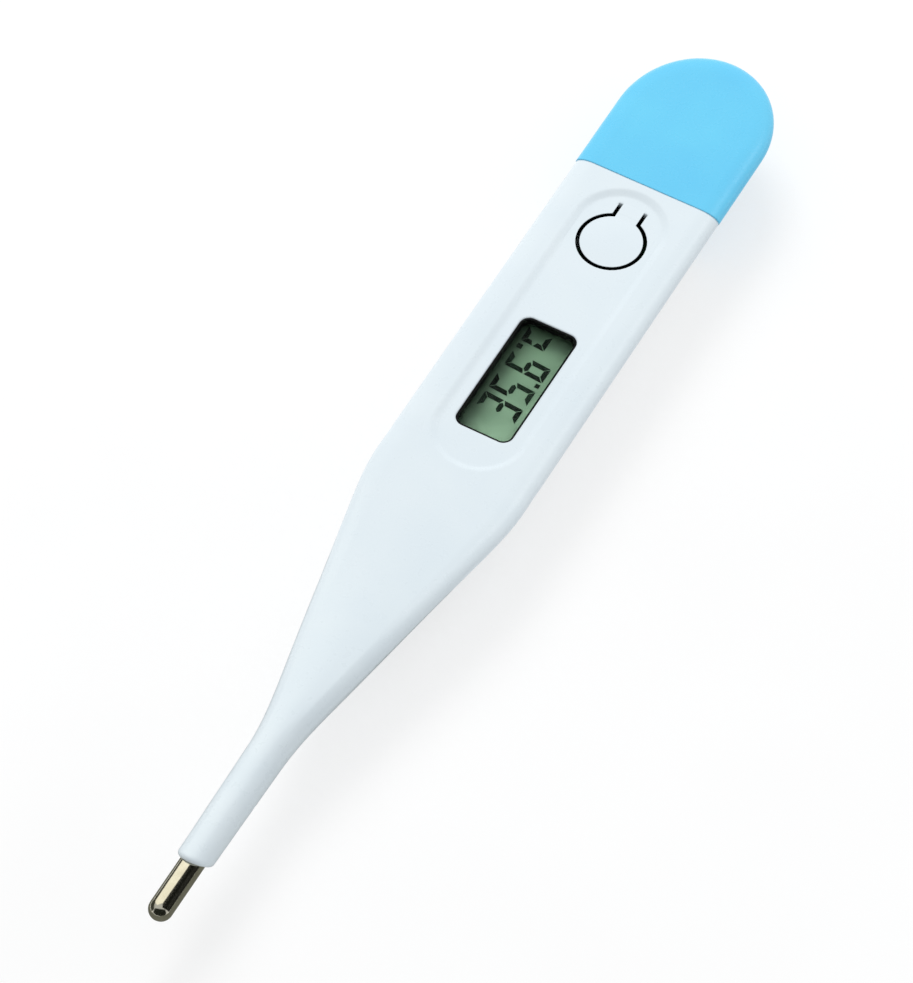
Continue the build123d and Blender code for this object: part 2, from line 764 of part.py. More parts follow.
with BuildPart() as buzzer_plate:
    buzzer_disc(buzzer_radius, buzzer_ring_bottom - buzzer_plate_thickness, buzzer_plate_thickness)
buzzer_plate.part.label = "buzzer_plate"
export_step(buzzer_plate.part, "parts/buzzer_plate.step")

with BuildPart() as buzzer_ceramic:
    buzzer_disc(buzzer_ceramic_radius, buzzer_ring_bottom, buzzer_ceramic_thickness)
buzzer_ceramic.part.label = "buzzer_ceramic"
export_step(buzzer_ceramic.part, "parts/buzzer_ceramic.step")

with BuildPart() as buzzer_pins:
    plate_pin = (buzzer_ceramic_radius + buzzer_radius - buzzer_ring_width) / 2
    for reach, bottom in ((0.0, ceramic_top), (plate_pin, buzzer_ring_bottom)):
        with BuildSketch(Plane.XY.offset(bottom)):
            with Locations((0, buzzer_y + reach)):
                Circle(pin_radius)
        extrude(amount=board_bottom - bottom)
buzzer_pins.part.label = "buzzer_pins"
export_step(buzzer_pins.part, "parts/buzzer_pins.step")

# ---- Circuit carrier: the sliding tail that holds the board and the cell ----
contact_front = seam + carrier_front - contact_clearance - contact_thickness
with BuildPart() as circuit_carrier:
    carrier_length = cover_turn_y - seam - carrier_front
    carrier_round = cover_round - cover_proud - carrier_inset
    rounded_end(hull_points(carrier_inset, carrier_top, carrier_base), carrier_round, carrier_length)
    with BuildSketch(Plane.XY.offset(carrier_base + chamber_floor)):
        with Locations((0, cell_y)):
            Circle(cell_diameter / 2 + cell_fit)
    extrude(amount=body_height, mode=Mode.SUBTRACT)
    with BuildSketch(Plane.XY.offset(board_bottom)):
        with Locations((0, board_rear - board_in_carrier / 2)):
            Rectangle(body_width, board_in_carrier)
    extrude(amount=board_thickness, mode=Mode.SUBTRACT)
    # Channels for the two contacts, through the wall ahead of the cell
    channel_y = (seam + carrier_front + cell_y) / 2
    channel_length = cell_y - seam - carrier_front
    channel_width = contact_width + 2 * contact_clearance
    with BuildSketch(Plane.XY.offset(cell_top - contact_clearance)):
        with Locations((0, channel_y)):
            Rectangle(channel_width, channel_length)
    extrude(amount=body_height, mode=Mode.SUBTRACT)
    with BuildSketch(Plane.XY.offset(carrier_base + chamber_floor)):
        with Locations((0, channel_y)):
            Rectangle(channel_width, channel_length)
    extrude(amount=contact_thickness + contact_clearance, mode=Mode.SUBTRACT)
    # Notch behind the cell, for pushing it out
    notch_length = cell_diameter
    with BuildSketch(Plane.XY.offset(carrier_base + chamber_floor)):
        with Locations((0, cell_y + cell_diameter / 2)):
            SlotOverall(notch_length, thumb_notch_width, rotation=90)
    extrude(amount=body_height, mode=Mode.SUBTRACT)
circuit_carrier.part.label = "circuit_carrier"
export_step(circuit_carrier.part, "parts/circuit_carrier.step")


# ---- Battery contacts ----
def contact(plate_bottom, leg_bottom, leg_top):
    """Strip under or over the cell, with an upright leg that meets the board."""
    plate_rear = cell_y + contact_width / 2
    slab(contact_width, contact_front, plate_rear, plate_bottom, contact_thickness)
    slab(contact_width, contact_front, contact_front + contact_thickness, leg_bottom, leg_top - leg_bottom)


with BuildPart() as battery_contact_positive:
    contact(cell_top, board_top, cell_top)
battery_contact_positive.part.label = "battery_contact_positive"
export_step(battery_contact_positive.part, "parts/battery_contact_positive.step")

with BuildPart() as battery_contact_negative:
    negative_plate = carrier_base + chamber_floor
    contact(negative_plate, negative_plate, board_bottom)
battery_contact_negative.part.label = "battery_contact_negative"
export_step(battery_contact_negative.part, "parts/battery_contact_negative.step")


# ---- LR41 cell, negative cap down ----
def cell_disc(radius, bottom, top, mode=Mode.ADD):
    with BuildSketch(Plane.XY.offset(bottom)) as disc:
        with Locations((0, cell_y)):
            Circle(radius)
    extrude(disc.sketch, amount=top - bottom, mode=mode)


can_bottom = cell_bottom + cell_step
can_inside = cell_diameter / 2 - cell_can_wall
cap_radius = can_inside - cell_seal_wall
with BuildPart() as cell_can:
    cell_disc(cell_diameter / 2, can_bottom, cell_top)
    cell_disc(can_inside, can_bottom, cell_top - cell_can_wall, Mode.SUBTRACT)
cell_can.part.label = "cell_can"
export_step(cell_can.part, "parts/cell_can.step")

with BuildPart() as cell_seal:
    cell_disc(can_inside, can_bottom, cell_top - cell_can_wall)
    cell_disc(cap_radius, can_bottom, cell_top - cell_can_wall, Mode.SUBTRACT)
cell_seal.part.label = "cell_seal"
export_step(cell_seal.part, "parts/cell_seal.step")

with BuildPart() as cell_cap:
    cell_disc(cap_radius, cell_bottom, cell_top - cell_can_wall)
cell_cap.part.label = "cell_cap"
export_step(cell_cap.part, "parts/cell_cap.step")

# ---- Probe tip: drawn steel cup, resin and thermistor bead ----
tip_inner = tip_radius - tip_wall
tip_rear = stem_end + tip_buried


def tip_plug(radius, rear, mode=Mode.ADD):
    """Round-nosed plug on the stem axis, concentric with the tip's end."""
    nose = tip_end + tip_radius
    with BuildSketch(station(rear)) as disc:
        with Locations((0, stem_axis)):
            Circle(radius)
    extrude(disc.sketch, amount=rear - nose, mode=mode)
    with Locations((0, nose, stem_axis)):
        Sphere(radius, mode=mode)


def tip_neck(radius, front, mode=Mode.ADD):
    """Part of the tip inside the stem, from its rear end forward."""
    with BuildSketch(station(tip_rear)) as disc:
        with Locations((0, stem_axis)):
            Circle(radius)
    extrude(disc.sketch, amount=tip_rear - front, mode=mode)


tip_shoulder = tip_step - tip_shoulder_gap
with BuildPart() as probe_tip:
    tip_plug(tip_radius, tip_shoulder)
    tip_neck(tip_neck_radius, tip_shoulder)
    tip_plug(tip_inner, tip_shoulder - tip_wall, Mode.SUBTRACT)
    tip_neck(tip_neck_radius - tip_wall, tip_shoulder - tip_wall, Mode.SUBTRACT)
probe_tip.part.label = "probe_tip"
export_step(probe_tip.part, "parts/probe_tip.step")

bead_front = tip_end + bead_from_end
bead_rear = bead_front + bead_length
resin_rear = bead_rear + bead_length
with BuildPart() as tip_resin:
    tip_plug(tip_inner - assembly_gap, resin_rear)
    with BuildSketch(station(resin_rear)):
        with Locations((0, stem_axis)):
            Circle(bead_radius + lead_radius)
    extrude(amount=resin_rear - bead_front, mode=Mode.SUBTRACT)
tip_resin.part.label = "tip_resin"
export_step(tip_resin.part, "parts/tip_resin.step")

with BuildPart() as thermistor_bead:
    with BuildSketch(station(bead_rear)):
        with Locations((0, stem_axis)):
            Circle(bead_radius)
    extrude(amount=bead_length)
    fillet(edges().filter_by(GeomType.CIRCLE), bead_round)
thermistor_bead.part.label = "thermistor_bead"
export_step(thermistor_bead.part, "parts/thermistor_bead.step")

# ---- Thermistor leads: board pads to the bead, through the taper and the stem ----
lead_start = board_top + solder_height
lead_points = [
    (lead_pad_x, lead_pad_y, lead_start),
    (lead_pad_x + 0.25, lead_pad_y - 5.5, lead_start + 1.7),
    (lead_pad_x - 0.2, lead_pad_y - 13.0, stem_axis - 0.15),
    (0.7, lead_pad_y - 23.0, stem_axis + 0.1),
    (lead_spread + 0.02, stem_start + 1.5, stem_axis - 0.04),
    (lead_spread - 0.03, stem_end + 4.0, stem_axis + 0.03),
    (lead_spread, bead_rear, stem_axis),
]


def corner_radii(points):
    """Radius for each inner point: as large as the shorter run beside it allows."""
    radii = []
    for before, here, after in zip(points, points[1:], points[2:]):
        first = Vector(*here) - Vector(*before)
        second = Vector(*after) - Vector(*here)
        turn = math.radians(first.get_angle(second))
        radii.append(0.45 * min(first.length, second.length) / math.tan(turn / 2))
    return radii


with BuildPart() as thermistor_leads:
    for side in (-1, 1):
        route = [(side * x, y, z) for x, y, z in lead_points]
        with BuildLine():
            run = FilletPolyline(*route, radius=corner_radii(route))
        with BuildSketch(Plane(origin=run @ 0, z_dir=run % 0)):
            Circle(lead_radius)
        sweep()
    expected = 2 * math.pi * lead_radius**2 * run.length
    print("lead length", round(run.length, 2), "radii", [round(r, 1) for r in corner_radii(route)])
    print("lead volume", round(thermistor_leads.part.volume, 4), "expected", round(expected, 4))
thermistor_leads.part.label = "thermistor_leads"
export_step(thermistor_leads.part, "parts/thermistor_leads.step")

# ---- Solder: where the leads land on the board ----
with BuildPart() as solder_joints:
    with BuildSketch(Plane.XY.offset(board_top)):
        for side in (-1, 1):
            with Locations((side * lead_pad_x, lead_pad_y + solder_radius)):
                Circle(solder_radius)
    extrude(amount=solder_height)
solder_joints.part.label = "solder_joints"
export_step(solder_joints.part, "parts/solder_joints.step")
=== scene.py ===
import math

import bmesh
import bpy
from mathutils import Matrix, Vector


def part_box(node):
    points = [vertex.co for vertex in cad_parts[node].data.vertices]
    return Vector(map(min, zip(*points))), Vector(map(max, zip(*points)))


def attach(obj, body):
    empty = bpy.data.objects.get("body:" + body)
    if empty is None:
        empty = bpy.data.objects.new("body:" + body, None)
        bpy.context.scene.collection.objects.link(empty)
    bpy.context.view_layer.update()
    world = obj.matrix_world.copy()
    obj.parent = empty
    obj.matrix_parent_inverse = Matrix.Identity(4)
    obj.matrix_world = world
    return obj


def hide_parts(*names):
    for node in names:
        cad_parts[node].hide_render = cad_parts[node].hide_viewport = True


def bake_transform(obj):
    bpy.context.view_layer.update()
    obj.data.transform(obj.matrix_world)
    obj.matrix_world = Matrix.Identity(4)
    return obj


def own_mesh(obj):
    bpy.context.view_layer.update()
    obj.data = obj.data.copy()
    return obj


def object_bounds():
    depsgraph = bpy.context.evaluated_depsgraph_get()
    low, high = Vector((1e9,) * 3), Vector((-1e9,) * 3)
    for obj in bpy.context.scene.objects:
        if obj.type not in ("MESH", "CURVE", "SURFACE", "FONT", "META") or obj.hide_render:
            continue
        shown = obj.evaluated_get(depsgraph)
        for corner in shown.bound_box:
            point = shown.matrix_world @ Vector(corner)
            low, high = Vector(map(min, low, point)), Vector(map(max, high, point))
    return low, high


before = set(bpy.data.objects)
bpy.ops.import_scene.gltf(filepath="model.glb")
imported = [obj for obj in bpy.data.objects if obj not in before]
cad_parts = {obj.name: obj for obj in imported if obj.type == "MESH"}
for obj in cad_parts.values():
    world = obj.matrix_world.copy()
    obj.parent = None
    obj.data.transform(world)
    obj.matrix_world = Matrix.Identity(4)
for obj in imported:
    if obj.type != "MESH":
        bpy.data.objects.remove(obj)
cad_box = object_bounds()

# Metres throughout. MM and MICRON turn millimetres and micrometres into metres.
MM = 0.001
MICRON = 0.001 * MM
scene = bpy.context.scene


def put(name, data):
    """A new object in the scene, made of this data."""
    thing = bpy.data.objects.new(name, data)
    scene.collection.objects.link(thing)
    return thing


def aim(thing, where, target):
    """Put a lamp or a card somewhere and turn its front to the target."""
    thing.location = where
    thing.rotation_euler = (Vector(target) - Vector(where)).to_track_quat("-Z", "Y").to_euler()


def rectangle(name, width, length, height, material):
    """Flat four-cornered mesh about the origin, at one height."""
    across, along = width / 2, length / 2
    mesh = bpy.data.meshes.new(name)
    corners = ((-across, -along), (across, -along), (across, along), (-across, along))
    mesh.from_pydata([(x, y, height) for x, y in corners], [], [(0, 1, 2, 3)])
    mesh.materials.append(material)
    return mesh


# ---- Camera: the view of the reference picture ----
FRAME_WIDTH, FRAME_HEIGHT = 913, 983
VIEW_AZIMUTH = math.radians(29.34)
VIEW_ELEVATION = math.radians(55.09)
VIEW_ROLL = math.radians(-0.05)
VIEW_DISTANCE = 0.604
PIXELS_PER_METRE = 9584.0          # on the face, at the middle of the frame
LOOK_AT = (1.527 * MM, -3.187 * MM)    # point of the face in the middle of the frame
SENSOR = 36.0                      # width of the camera's sensor, millimetres
RECESS_DEPTH = 0.35 * MM

face_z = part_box("casing")[1].z
recess_z = face_z - RECESS_DEPTH
back = Vector((
    math.sin(VIEW_AZIMUTH) * math.cos(VIEW_ELEVATION),
    -math.cos(VIEW_AZIMUTH) * math.cos(VIEW_ELEVATION),
    math.sin(VIEW_ELEVATION),
))
level = Vector((math.cos(VIEW_AZIMUTH), math.sin(VIEW_AZIMUTH), 0))
upright = back.cross(level)
right = level * math.cos(VIEW_ROLL) + upright * math.sin(VIEW_ROLL)
up = upright * math.cos(VIEW_ROLL) - level * math.sin(VIEW_ROLL)

camera_data = bpy.data.cameras.new("camera")
camera_data.sensor_width = SENSOR
camera_data.lens = PIXELS_PER_METRE * VIEW_DISTANCE * SENSOR / max(FRAME_WIDTH, FRAME_HEIGHT)
camera_data.clip_start = 0.01
camera = put("camera", camera_data)
camera.location = Vector((*LOOK_AT, recess_z)) + back * VIEW_DISTANCE
camera.rotation_euler = Matrix((right, up, back)).transposed().to_euler()
scene.camera = camera


# ---- Node helpers ----
def new_material(name):
    material = bpy.data.materials.new(name)
    material.use_nodes = True
    tree = material.node_tree
    return material, tree, tree.nodes["Principled BSDF"]


def feed(tree, socket, value):
    """Link the socket to another one, or set its own value."""
    if isinstance(value, bpy.types.NodeSocket):
        tree.links.new(value, socket)
    else:
        socket.default_value = value


def add(tree, kind, **inputs):
    """A node of one kind, with its inputs given by name."""
    node = tree.nodes.new(kind)
    for key, value in inputs.items():
        feed(tree, node.inputs[key], value)
    return node


def place(tree, stretch=(1, 1, 1)):
    """Position on the object in millimetres, stretched along its axes."""
    coordinates = tree.nodes.new("ShaderNodeTexCoord")
    mapping = add(tree, "ShaderNodeMapping", Scale=[share / MM for share in stretch])
    tree.links.new(coordinates.outputs["Object"], mapping.inputs["Vector"])
    return mapping.outputs["Vector"]


def noise(tree, where, scale, detail=3.0, distortion=0.0):
    node = add(
        tree, "ShaderNodeTexNoise", Vector=where, Scale=scale, Detail=detail, Distortion=distortion
    )
    return node.outputs["Fac"]


def spread(tree, value, low, high, start=0.3, end=0.7):
    """Value remapped from the stretch start to end onto low to high."""
    node = tree.nodes.new("ShaderNodeMapRange")
    ends = (("From Min", start), ("From Max", end), ("To Min", low), ("To Max", high))
    for key, number in (("Value", value), *ends):
        feed(tree, node.inputs[key], number)
    return node.outputs["Result"]


def mix(tree, share, first, second):
    node = tree.nodes.new("ShaderNodeMix")
    node.data_type = "RGBA"
    colours = [socket for socket in node.inputs if socket.type == "RGBA"]
    for socket, value in zip((node.inputs[0], *colours), (share, first, second)):
        feed(tree, socket, value)
    return next(socket for socket in node.outputs if socket.type == "RGBA")


def calculate(tree, operation, first, second=0.0):
    node = tree.nodes.new("ShaderNodeMath")
    node.operation = operation
    for socket, value in zip(node.inputs, (first, second)):
        feed(tree, socket, value)
    return node.outputs[0]


def apart(tree, where):
    node = add(tree, "ShaderNodeSeparateXYZ", Vector=where)
    return node.outputs[0], node.outputs[1], node.outputs[2]


def bump(tree, height, distance, normal=None):
    node = add(tree, "ShaderNodeBump", Height=height, Distance=distance, Strength=1.0)
    if normal is not None:
        tree.links.new(normal, node.inputs["Normal"])
    return node.outputs["Normal"]


def soft_edges(tree, radius):
    """Normal that rounds the edges, by one radius or by a value in metres."""
    node = add(tree, "ShaderNodeBevel", Radius=radius)
    node.samples = BEVEL_SAMPLES
    return node.outputs["Normal"]


def linear(red, green, blue):
    """Shader colour from a screen colour of 0 to 255."""
    def channel(value):
        value /= 255
        return value / 12.92 if value <= 0.04045 else ((value + 0.055) / 1.055) ** 2.4
    return (channel(red), channel(green), channel(blue), 1.0)


# ---- Materials ----
BEVEL_SAMPLES = 8

# The casing's face, in millimetres.
SLOT_REACH = 1.75        # how far the slot's legs reach from the button's rim
SLOT_LIP = 0.05          # the slot's walls are painted dark as shade from this far below the face
FACE_WALL = 0.8
RIM_SOFTNESS = 0.45      # edge radius on the recess's rim
SLOT_SOFTNESS = 0.12     # edge radius at the slot
# Painted shade: the slot's walls get this near-black colour and this low gloss, standing for the
# shadow in the gap.
SLOT_SHADE_COLOUR = (9, 11, 13)
PLAIN_GLOSS, SLOT_SHADE_GLOSS = 0.5, 0.08

# The display's ground, in millimetres: a painted shadow of the window's edge darkens it from each
# start to each end of these stretches.
LEFT_PAINTED_SHADOW = (4.4, 0.2)      # from the left edge
REAR_PAINTED_SHADOW = (4.2, 0.6)      # from the rear edge
REAR_SHADOW_DARKNESS = 0.8
SHADOW_FALLOFF_POWER = 1.5


def moulded_plastic(name, colour, shade, roughness, edge=0.12, wave=0.35, texture=0.08):
    """Injection-moulded plastic: slow colour drift, cloudy gloss, and a faint wave and grain."""
    material, tree, shader = new_material(name)
    where = place(tree)
    drift = spread(tree, noise(tree, where, 0.11, 2.0, 0.4), 0.0, 1.0)
    speck = spread(tree, noise(tree, where, 7.0, 2.0), 0.0, 0.15, 0.5, 0.85)
    colours = mix(tree, speck, mix(tree, drift, colour, shade), shade)
    tree.links.new(colours, shader.inputs["Base Color"])
    cloud = noise(tree, where, 0.8, 4.0)
    cloudy = spread(tree, cloud, roughness * 0.85, roughness * 1.15)
    tree.links.new(cloudy, shader.inputs["Roughness"])
    normal = soft_edges(tree, edge * MM) if edge else None
    normal = bump(tree, noise(tree, where, 0.45, 2.0), wave * MICRON, normal)
    normal = bump(tree, noise(tree, where, 9.0, 2.0), texture * MICRON, normal)
    tree.links.new(normal, shader.inputs["Normal"])
    shader.inputs["IOR"].default_value = 1.5
    return material


def face_plastic(name, colour, shade, roughness):
    """The casing's plastic: edges softer on the recess's rim than at the slot, and slot walls
    painted dark as shade.
    """
    material = moulded_plastic(name, colour, shade, roughness, edge=0)
    tree = material.node_tree
    shader = tree.nodes["Principled BSDF"]
    x, y, z = apart(tree, place(tree))
    low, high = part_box("power_button")
    radius = (high.x - low.x) / 2 / MM
    away_y = calculate(tree, "SUBTRACT", y, low.y / MM + radius)
    squared_x = calculate(tree, "MULTIPLY", x, x)
    squared_y = calculate(tree, "MULTIPLY", away_y, away_y)
    away = calculate(tree, "SQRT", calculate(tree, "ADD", squared_x, squared_y))
    at_button = calculate(tree, "LESS_THAN", away, radius + SLOT_REACH)
    below_face = calculate(tree, "LESS_THAN", z, recess_z / MM - SLOT_LIP)
    above_wall = calculate(tree, "GREATER_THAN", z, recess_z / MM - FACE_WALL - SLOT_LIP)
    in_wall = calculate(tree, "MULTIPLY", below_face, above_wall)
    slot_shade_mask = calculate(tree, "MULTIPLY", at_button, in_wall)
    # Painted shade: inside the slot, below the face, the colour turns near-black and the gloss
    # drops.
    plain = shader.inputs["Base Color"].links[0].from_socket
    tree.links.new(mix(tree, slot_shade_mask, plain, linear(*SLOT_SHADE_COLOUR)), shader.inputs["Base Color"])
    loss = calculate(tree, "MULTIPLY", slot_shade_mask, PLAIN_GLOSS - SLOT_SHADE_GLOSS)
    gloss = calculate(tree, "SUBTRACT", PLAIN_GLOSS, loss)
    tree.links.new(gloss, shader.inputs["Specular IOR Level"])
    sharpening = calculate(tree, "MULTIPLY", at_button, (RIM_SOFTNESS - SLOT_SOFTNESS) * MM)
    rounded = soft_edges(tree, calculate(tree, "SUBTRACT", RIM_SOFTNESS * MM, sharpening))
    bumps = [node for node in tree.nodes if node.type == "BUMP"]
    first = next(node for node in bumps if not node.inputs["Normal"].links)
    tree.links.new(rounded, first.inputs["Normal"])
    return material


def drawn_metal(name, colour, shade, roughness, grain=(1, 1, 1), depth=0.8):
    """Metal with fine drawn or rolled lines, stretched along the grain, and a light tarnish."""
    material, tree, shader = new_material(name)
    where = place(tree, grain)
    lines = noise(tree, where, 6.0, 4.0)
    stain = spread(tree, noise(tree, place(tree), 0.7, 4.0, 0.6), 0.0, 1.0, 0.35, 0.75)
    tree.links.new(mix(tree, stain, colour, shade), shader.inputs["Base Color"])
    tree.links.new(spread(tree, lines, roughness * 0.8, roughness * 1.3), shader.inputs["Roughness"])
    tree.links.new(bump(tree, lines, depth * MICRON), shader.inputs["Normal"])
    shader.inputs["Metallic"].default_value = 1.0
    return material


def clear_plastic(name, tint, roughness, gloss_ior=1.45):
    """Clear sheet that lets light straight through, with a faint haze in its gloss."""
    material, tree, shader = new_material(name)
    tree.nodes.remove(shader)
    see_through = add(tree, "ShaderNodeBsdfTransparent", Color=tint)
    haze = spread(tree, noise(tree, place(tree), 0.9, 3.0), roughness * 0.6, roughness * 1.6)
    gloss = add(tree, "ShaderNodeBsdfGlossy", Color=(1, 1, 1, 1), Roughness=haze)
    fresnel = add(tree, "ShaderNodeFresnel", IOR=gloss_ior)
    geometry = tree.nodes.new("ShaderNodeNewGeometry")
    front = calculate(tree, "SUBTRACT", 1.0, geometry.outputs["Backfacing"])
    mirrored = calculate(tree, "MULTIPLY", fresnel.outputs[0], front)
    blend = tree.nodes.new("ShaderNodeMixShader")
    for socket, value in zip(blend.inputs, (mirrored, see_through.outputs[0], gloss.outputs[0])):
        tree.links.new(value, socket)
    tree.links.new(blend.outputs[0], tree.nodes["Material Output"].inputs["Surface"])
    return material


def display_ground(name):
    """Reflective display ground: grey-green, lighter towards the tip, with a fine grain and a
    painted shadow darkening its left and rear edges.
    """
    material, tree, shader = new_material(name)
    where = place(tree)
    x, y, _ = apart(tree, where)
    low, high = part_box("lcd_rear_glass")
    left, rear = low.x / MM, high.y / MM
    along = spread(tree, y, 0.0, 1.0, low.y / MM, rear)
    patch = spread(tree, noise(tree, where, 0.25, 2.0, 0.5), 0.0, 1.0)
    ground = mix(tree, along, linear(196, 228, 203), linear(106, 138, 108))
    ground = mix(tree, patch, ground, linear(140, 168, 146))
    # Painted shadow: the shade that the window's edge throws on the left and rear of the display is
    # drawn into its colour.
    plain, dark = LEFT_PAINTED_SHADOW
    side = spread(tree, x, 1.0, 0.0, left + dark, left + plain)
    plain, dark = REAR_PAINTED_SHADOW
    end = spread(tree, y, 0.0, REAR_SHADOW_DARKNESS, rear - plain, rear - dark)
    edge = calculate(tree, "POWER", calculate(tree, "MAXIMUM", side, end), SHADOW_FALLOFF_POWER)
    ground = mix(tree, edge, ground, linear(20, 36, 25))
    tree.links.new(ground, shader.inputs["Base Color"])
    weave = noise(tree, place(tree, (12, 1, 1)), 2.0, 2.0)
    tree.links.new(bump(tree, weave, MICRON), shader.inputs["Normal"])
    shader.inputs["Roughness"].default_value = 0.5
    shader.inputs["Specular IOR Level"].default_value = 0.15
    return material


def display_ink(name):
    material, tree, shader = new_material(name)
    density = spread(tree, noise(tree, place(tree), 0.35, 2.0), 0.0, 1.0)
    colours = mix(tree, density, linear(6, 16, 10), linear(26, 44, 33))
    tree.links.new(colours, shader.inputs["Base Color"])
    shader.inputs["Roughness"].default_value = 0.6
    shader.inputs["Specular IOR Level"].default_value = 0.1
    return material


def board_laminate(name):
    """Green solder mask over woven glass, with lighter buried tracks."""
    material, tree, shader = new_material(name)
    where = place(tree)
    weave = add(tree, "ShaderNodeTexWave", Vector=where, Scale=3.0, Distortion=0.4)
    tracks = add(tree, "ShaderNodeTexBrick", Vector=where, Scale=0.35)
    tracks.inputs["Mortar Size"].default_value = 0.06
    lines = spread(tree, tracks.outputs["Fac"], 0.0, 1.0, 0.2, 0.8)
    mask = mix(tree, lines, linear(14, 92, 48), linear(38, 132, 74))
    cloudy = mix(tree, spread(tree, weave.outputs["Fac"], 0.0, 0.3), mask, linear(9, 66, 36))
    tree.links.new(cloudy, shader.inputs["Base Color"])
    tree.links.new(bump(tree, lines, 0.02 * MM), shader.inputs["Normal"])
    shader.inputs["Roughness"].default_value = 0.3
    return material


def striped_rubber(name):
    """Layered connector: thin dark conducting stripes across pale silicone."""
    material, tree, shader = new_material(name)
    stripes = add(tree, "ShaderNodeTexWave", Vector=place(tree), Scale=3.2)
    stripes.bands_direction = "X"
    share = spread(tree, stripes.outputs["Fac"], 0, 1)
    colours = mix(tree, share, linear(60, 60, 64), linear(208, 196, 190))
    tree.links.new(colours, shader.inputs["Base Color"])
    shader.inputs["Roughness"].default_value = 0.6
    return material


WHITE = face_plastic("white_plastic", linear(233, 243, 248), linear(229, 240, 246), 0.30)
BLUE = moulded_plastic(
    "blue_plastic", linear(110, 213, 250), linear(105, 207, 248), 0.28, edge=0.25
)
BLACK = moulded_plastic("black_plastic", linear(7, 9, 8), linear(13, 15, 14), 0.5, edge=0.05)
BLACK.node_tree.nodes["Principled BSDF"].inputs["Specular IOR Level"].default_value = 0.15
HOLDER = moulded_plastic(
    "holder_plastic", linear(226, 226, 220), linear(214, 214, 207), 0.5, edge=0.1
)
LENS = clear_plastic("clear_plastic", (0.99, 0.997, 0.99, 1), 0.06, 1.16)
FILM = clear_plastic("polariser_film", (0.975, 0.99, 0.975, 1), 0.12, 1.05)
GLASS = clear_plastic("display_glass", (0.985, 0.995, 0.985, 1), 0.03, 1.04)
GROUND = display_ground("display_ground")
INK = display_ink("display_ink")
BOARD = board_laminate("board_laminate")
ZEBRA = striped_rubber("grey_rubber")
RESIN = moulded_plastic("black_resin", linear(18, 18, 20), linear(30, 30, 33), 0.22, edge=0)
CHIP = moulded_plastic("resistor_black", linear(26, 26, 28), linear(60, 60, 62), 0.5, edge=0.05)
CAPACITOR = moulded_plastic(
    "capacitor_tan", linear(176, 140, 96), linear(150, 118, 80), 0.55, edge=0.05
)
KEY = moulded_plastic("key_rubber", linear(184, 186, 188), linear(168, 170, 172), 0.7, edge=0.1)
CARBON = moulded_plastic("carbon", linear(26, 26, 27), linear(42, 42, 43), 0.8, edge=0)
FOAM = moulded_plastic("foam", linear(44, 44, 46), linear(70, 70, 72), 0.95, edge=0, texture=12)
CERAMIC = moulded_plastic("ceramic", linear(224, 221, 208), linear(204, 200, 186), 0.45, edge=0)
NYLON = moulded_plastic("seal_nylon", linear(104, 148, 118), linear(86, 128, 100), 0.5, edge=0)
WIRE = moulded_plastic("lead_insulation", linear(176, 42, 34), linear(150, 34, 28), 0.4, edge=0)
EPOXY = moulded_plastic("tip_resin", linear(150, 130, 90), linear(120, 102, 70), 0.5, edge=0)
BEAD = moulded_plastic("bead_glass", linear(150, 92, 54), linear(110, 62, 36), 0.15, edge=0)
BRASS = drawn_metal("brass", linear(226, 190, 108), linear(186, 150, 78), 0.28, (1, 6, 1))
SPRING = drawn_metal("spring_steel", linear(206, 204, 198), linear(176, 172, 164), 0.25, (1, 8, 1))
CELL = drawn_metal("cell_steel", linear(214, 214, 212), linear(188, 187, 184), 0.2, (3, 3, 1))
SOLDER = drawn_metal("solder", linear(206, 208, 210), linear(160, 162, 166), 0.32)
STEEL = drawn_metal(
    "tip_steel", linear(216, 212, 196), linear(200, 194, 176), 0.14, (1, 7, 1), 0.1
)

FINISHES = {
    "casing": WHITE,
    "power_button": WHITE,
    "battery_cover": BLUE,
    "window_bezel": BLACK,
    "window_lens": LENS,
    "lcd_front_polariser": FILM,
    "lcd_front_glass": GLASS,
    "lcd_rear_glass": GROUND,
    "lcd_rear_polariser": GROUND,
    "lcd_characters": INK,
    "lcd_holder": HOLDER,
    "zebra_strip": ZEBRA,
    "circuit_board": BOARD,
    "circuit_carrier": HOLDER,
    "chip_blob": RESIN,
    "chip_resistors": CHIP,
    "chip_capacitors": CAPACITOR,
    "rubber_key": KEY,
    "carbon_pill": CARBON,
    "buzzer_foam_ring": FOAM,
    "buzzer_plate": BRASS,
    "buzzer_ceramic": CERAMIC,
    "buzzer_pins": SPRING,
    "battery_contact_positive": SPRING,
    "battery_contact_negative": SPRING,
    "cell_can": CELL,
    "cell_cap": CELL,
    "cell_seal": NYLON,
    "solder_joints": SOLDER,
    "thermistor_leads": WIRE,
    "thermistor_bead": BEAD,
    "tip_resin": EPOXY,
    "probe_tip": STEEL,
}
for name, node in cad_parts.items():
    node.data.materials.clear()
    node.data.materials.append(FINISHES[name])

# ---- Skin of the tongue's root: it runs on from the face to the tongue ----
WEB_RISE = 0.012 * MM
WEB_SINK = 0.03 * MM
WEB_INTO_TONGUE = 1.5 * MM       # from the button's rear end, towards the button
WEB_INTO_FACE = 0.35 * MM        # from the same end, onto the casing's face
WEB_WIDTH = 2.52 * MM
WEB_FALL = 8                     # even power: it stays level, then drops at its two edges
WEB_STEPS = 12


